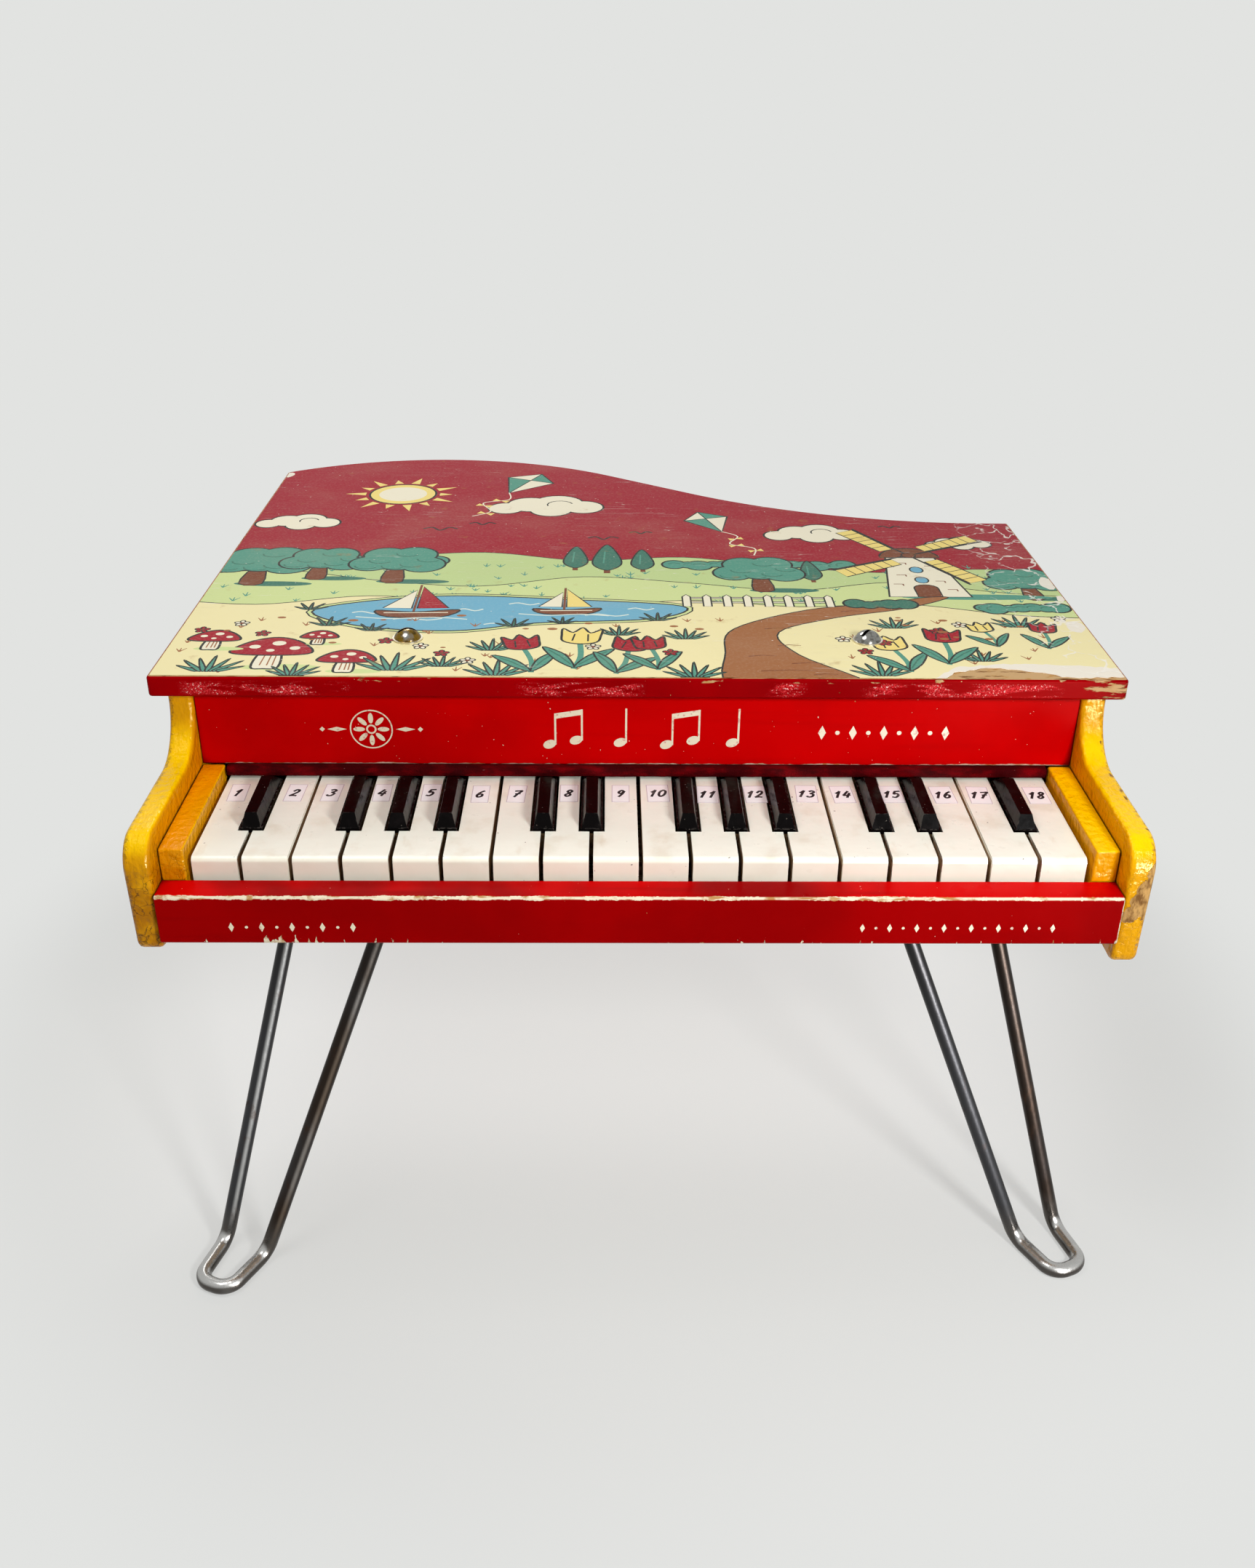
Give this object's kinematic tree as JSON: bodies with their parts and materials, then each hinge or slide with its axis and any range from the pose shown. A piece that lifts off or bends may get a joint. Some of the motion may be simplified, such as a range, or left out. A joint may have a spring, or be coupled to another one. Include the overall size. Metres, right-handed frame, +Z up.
{
  "type": "toy piano",
  "caption": "Wooden toy grand piano with playable keys, painted case, curved lid with printed paper and bent-wire hairpin legs",
  "frame": {"origin": "middle of the footprint, on the floor that the feet rest on", "axes": "+X to the player's right (treble), +Y from the keyboard to the tail, +Z up"},
  "size_m": [0.4144, 0.4338, 0.262],
  "materials": {
    "white_key": "softwood lever with a glossy ivory-white cover on the playing end",
    "black_key": "softwood lever with a glossy black tapered cap",
    "red_paint": "wood under bright red gloss paint, worn along the edges",
    "yellow_paint": "wood under thick brushed yellow paint",
    "bare_wood": "bare plywood and softwood",
    "velvet": "dark red velvet strip",
    "felt": "pressed wool felt",
    "printed_paper": "glazed colour-printed paper",
    "nickel": "dulled nickel plate",
    "cast_iron": "grey cast iron",
    "tone_steel": "drawn steel rod",
    "leg_steel": "darkened steel wire, rubbed bright at the feet"
  },
  "bodies": {
    "case": {"base_board": "bare_wood", "front_rail": "red_paint", "left_cheek": "yellow_paint", "right_cheek": "yellow_paint", "bent_side": "red_paint", "left_key_block": "yellow_paint", "right_key_block": "yellow_paint", "nameboard": "red_paint", "nameboard_felt": "velvet", "lid": "red_paint", "lid_paper": "printed_paper", "lid_screws": "nickel", "lid_washers": "nickel", "lid_nuts": "nickel", "tone_bar": "cast_iron", "tone_rods": "tone_steel", "pivot_rod": "tone_steel", "pivot_brackets": "bare_wood", "back_rest_rail": "bare_wood", "back_rest_felt": "felt", "front_stop_felt": "felt", "front_left_leg": "leg_steel", "front_right_leg": "leg_steel", "rear_leg": "leg_steel", "leg_plates": "leg_steel", "leg_screws": "leg_steel"},
    "white_01": {"white_key_01": "white_key"},
    "white_02": {"white_key_02": "white_key"},
    "white_03": {"white_key_03": "white_key"},
    "white_04": {"white_key_04": "white_key"},
    "white_05": {"white_key_05": "white_key"},
    "white_06": {"white_key_06": "white_key"},
    "white_07": {"white_key_07": "white_key"},
    "white_08": {"white_key_08": "white_key"},
    "white_09": {"white_key_09": "white_key"},
    "white_10": {"white_key_10": "white_key"},
    "white_11": {"white_key_11": "white_key"},
    "white_12": {"white_key_12": "white_key"},
    "white_13": {"white_key_13": "white_key"},
    "white_14": {"white_key_14": "white_key"},
    "white_15": {"white_key_15": "white_key"},
    "white_16": {"white_key_16": "white_key"},
    "white_17": {"white_key_17": "white_key"},
    "white_18": {"white_key_18": "white_key"},
    "black_01": {"black_key_01": "black_key"},
    "black_02": {"black_key_02": "black_key"},
    "black_03": {"black_key_03": "black_key"},
    "black_04": {"black_key_04": "black_key"},
    "black_05": {"black_key_05": "black_key"},
    "black_06": {"black_key_06": "black_key"},
    "black_07": {"black_key_07": "black_key"},
    "black_08": {"black_key_08": "black_key"},
    "black_09": {"black_key_09": "black_key"},
    "black_10": {"black_key_10": "black_key"},
    "black_11": {"black_key_11": "black_key"},
    "black_12": {"black_key_12": "black_key"}
  },
  "joints": [
    {"name": "white_01_press", "type": "hinge", "parent": "case", "child": "white_01", "pos_m": [-0.17, -0.08464, 0.195], "axis": [1, 0, 0], "range_deg": [0, 3.5], "stiffness_Nm_per_rad": 0.3, "springref_deg": -5.73},
    {"name": "white_02_press", "type": "hinge", "parent": "case", "child": "white_02", "pos_m": [-0.15, -0.08464, 0.195], "axis": [1, 0, 0], "range_deg": [0, 3.5], "stiffness_Nm_per_rad": 0.3, "springref_deg": -5.73},
    {"name": "white_03_press", "type": "hinge", "parent": "case", "child": "white_03", "pos_m": [-0.13, -0.08464, 0.195], "axis": [1, 0, 0], "range_deg": [0, 3.5], "stiffness_Nm_per_rad": 0.3, "springref_deg": -5.73},
    {"name": "white_04_press", "type": "hinge", "parent": "case", "child": "white_04", "pos_m": [-0.11, -0.08464, 0.195], "axis": [1, 0, 0], "range_deg": [0, 3.5], "stiffness_Nm_per_rad": 0.3, "springref_deg": -5.73},
    {"name": "white_05_press", "type": "hinge", "parent": "case", "child": "white_05", "pos_m": [-0.09, -0.08464, 0.195], "axis": [1, 0, 0], "range_deg": [0, 3.5], "stiffness_Nm_per_rad": 0.3, "springref_deg": -5.73},
    {"name": "white_06_press", "type": "hinge", "parent": "case", "child": "white_06", "pos_m": [-0.07, -0.08464, 0.195], "axis": [1, 0, 0], "range_deg": [0, 3.5], "stiffness_Nm_per_rad": 0.3, "springref_deg": -5.73},
    {"name": "white_07_press", "type": "hinge", "parent": "case", "child": "white_07", "pos_m": [-0.05, -0.08464, 0.195], "axis": [1, 0, 0], "range_deg": [0, 3.5], "stiffness_Nm_per_rad": 0.3, "springref_deg": -5.73},
    {"name": "white_08_press", "type": "hinge", "parent": "case", "child": "white_08", "pos_m": [-0.03, -0.08464, 0.195], "axis": [1, 0, 0], "range_deg": [0, 3.5], "stiffness_Nm_per_rad": 0.3, "springref_deg": -5.73},
    {"name": "white_09_press", "type": "hinge", "parent": "case", "child": "white_09", "pos_m": [-0.01, -0.08464, 0.195], "axis": [1, 0, 0], "range_deg": [0, 3.5], "stiffness_Nm_per_rad": 0.3, "springref_deg": -5.73},
    {"name": "white_10_press", "type": "hinge", "parent": "case", "child": "white_10", "pos_m": [0.01, -0.08464, 0.195], "axis": [1, 0, 0], "range_deg": [0, 3.5], "stiffness_Nm_per_rad": 0.3, "springref_deg": -5.73},
    {"name": "white_11_press", "type": "hinge", "parent": "case", "child": "white_11", "pos_m": [0.03, -0.08464, 0.195], "axis": [1, 0, 0], "range_deg": [0, 3.5], "stiffness_Nm_per_rad": 0.3, "springref_deg": -5.73},
    {"name": "white_12_press", "type": "hinge", "parent": "case", "child": "white_12", "pos_m": [0.05, -0.08464, 0.195], "axis": [1, 0, 0], "range_deg": [0, 3.5], "stiffness_Nm_per_rad": 0.3, "springref_deg": -5.73},
    {"name": "white_13_press", "type": "hinge", "parent": "case", "child": "white_13", "pos_m": [0.07, -0.08464, 0.195], "axis": [1, 0, 0], "range_deg": [0, 3.5], "stiffness_Nm_per_rad": 0.3, "springref_deg": -5.73},
    {"name": "white_14_press", "type": "hinge", "parent": "case", "child": "white_14", "pos_m": [0.09, -0.08464, 0.195], "axis": [1, 0, 0], "range_deg": [0, 3.5], "stiffness_Nm_per_rad": 0.3, "springref_deg": -5.73},
    {"name": "white_15_press", "type": "hinge", "parent": "case", "child": "white_15", "pos_m": [0.11, -0.08464, 0.195], "axis": [1, 0, 0], "range_deg": [0, 3.5], "stiffness_Nm_per_rad": 0.3, "springref_deg": -5.73},
    {"name": "white_16_press", "type": "hinge", "parent": "case", "child": "white_16", "pos_m": [0.13, -0.08464, 0.195], "axis": [1, 0, 0], "range_deg": [0, 3.5], "stiffness_Nm_per_rad": 0.3, "springref_deg": -5.73},
    {"name": "white_17_press", "type": "hinge", "parent": "case", "child": "white_17", "pos_m": [0.15, -0.08464, 0.195], "axis": [1, 0, 0], "range_deg": [0, 3.5], "stiffness_Nm_per_rad": 0.3, "springref_deg": -5.73},
    {"name": "white_18_press", "type": "hinge", "parent": "case", "child": "white_18", "pos_m": [0.17, -0.08464, 0.195], "axis": [1, 0, 0], "range_deg": [0, 3.5], "stiffness_Nm_per_rad": 0.3, "springref_deg": -5.73},
    {"name": "black_01_press", "type": "hinge", "parent": "case", "child": "black_01", "pos_m": [-0.16, -0.08464, 0.195], "axis": [1, 0, 0], "range_deg": [0, 3.5], "stiffness_Nm_per_rad": 0.3, "springref_deg": -5.73},
    {"name": "black_02_press", "type": "hinge", "parent": "case", "child": "black_02", "pos_m": [-0.12, -0.08464, 0.195], "axis": [1, 0, 0], "range_deg": [0, 3.5], "stiffness_Nm_per_rad": 0.3, "springref_deg": -5.73},
    {"name": "black_03_press", "type": "hinge", "parent": "case", "child": "black_03", "pos_m": [-0.1, -0.08464, 0.195], "axis": [1, 0, 0], "range_deg": [0, 3.5], "stiffness_Nm_per_rad": 0.3, "springref_deg": -5.73},
    {"name": "black_04_press", "type": "hinge", "parent": "case", "child": "black_04", "pos_m": [-0.08, -0.08464, 0.195], "axis": [1, 0, 0], "range_deg": [0, 3.5], "stiffness_Nm_per_rad": 0.3, "springref_deg": -5.73},
    {"name": "black_05_press", "type": "hinge", "parent": "case", "child": "black_05", "pos_m": [-0.04, -0.08464, 0.195], "axis": [1, 0, 0], "range_deg": [0, 3.5], "stiffness_Nm_per_rad": 0.3, "springref_deg": -5.73},
    {"name": "black_06_press", "type": "hinge", "parent": "case", "child": "black_06", "pos_m": [-0.02, -0.08464, 0.195], "axis": [1, 0, 0], "range_deg": [0, 3.5], "stiffness_Nm_per_rad": 0.3, "springref_deg": -5.73},
    {"name": "black_07_press", "type": "hinge", "parent": "case", "child": "black_07", "pos_m": [0.02, -0.08464, 0.195], "axis": [1, 0, 0], "range_deg": [0, 3.5], "stiffness_Nm_per_rad": 0.3, "springref_deg": -5.73},
    {"name": "black_08_press", "type": "hinge", "parent": "case", "child": "black_08", "pos_m": [0.04, -0.08464, 0.195], "axis": [1, 0, 0], "range_deg": [0, 3.5], "stiffness_Nm_per_rad": 0.3, "springref_deg": -5.73},
    {"name": "black_09_press", "type": "hinge", "parent": "case", "child": "black_09", "pos_m": [0.06, -0.08464, 0.195], "axis": [1, 0, 0], "range_deg": [0, 3.5], "stiffness_Nm_per_rad": 0.3, "springref_deg": -5.73},
    {"name": "black_10_press", "type": "hinge", "parent": "case", "child": "black_10", "pos_m": [0.1, -0.08464, 0.195], "axis": [1, 0, 0], "range_deg": [0, 3.5], "stiffness_Nm_per_rad": 0.3, "springref_deg": -5.73},
    {"name": "black_11_press", "type": "hinge", "parent": "case", "child": "black_11", "pos_m": [0.12, -0.08464, 0.195], "axis": [1, 0, 0], "range_deg": [0, 3.5], "stiffness_Nm_per_rad": 0.3, "springref_deg": -5.73},
    {"name": "black_12_press", "type": "hinge", "parent": "case", "child": "black_12", "pos_m": [0.16, -0.08464, 0.195], "axis": [1, 0, 0], "range_deg": [0, 3.5], "stiffness_Nm_per_rad": 0.3, "springref_deg": -5.73}
  ]
}
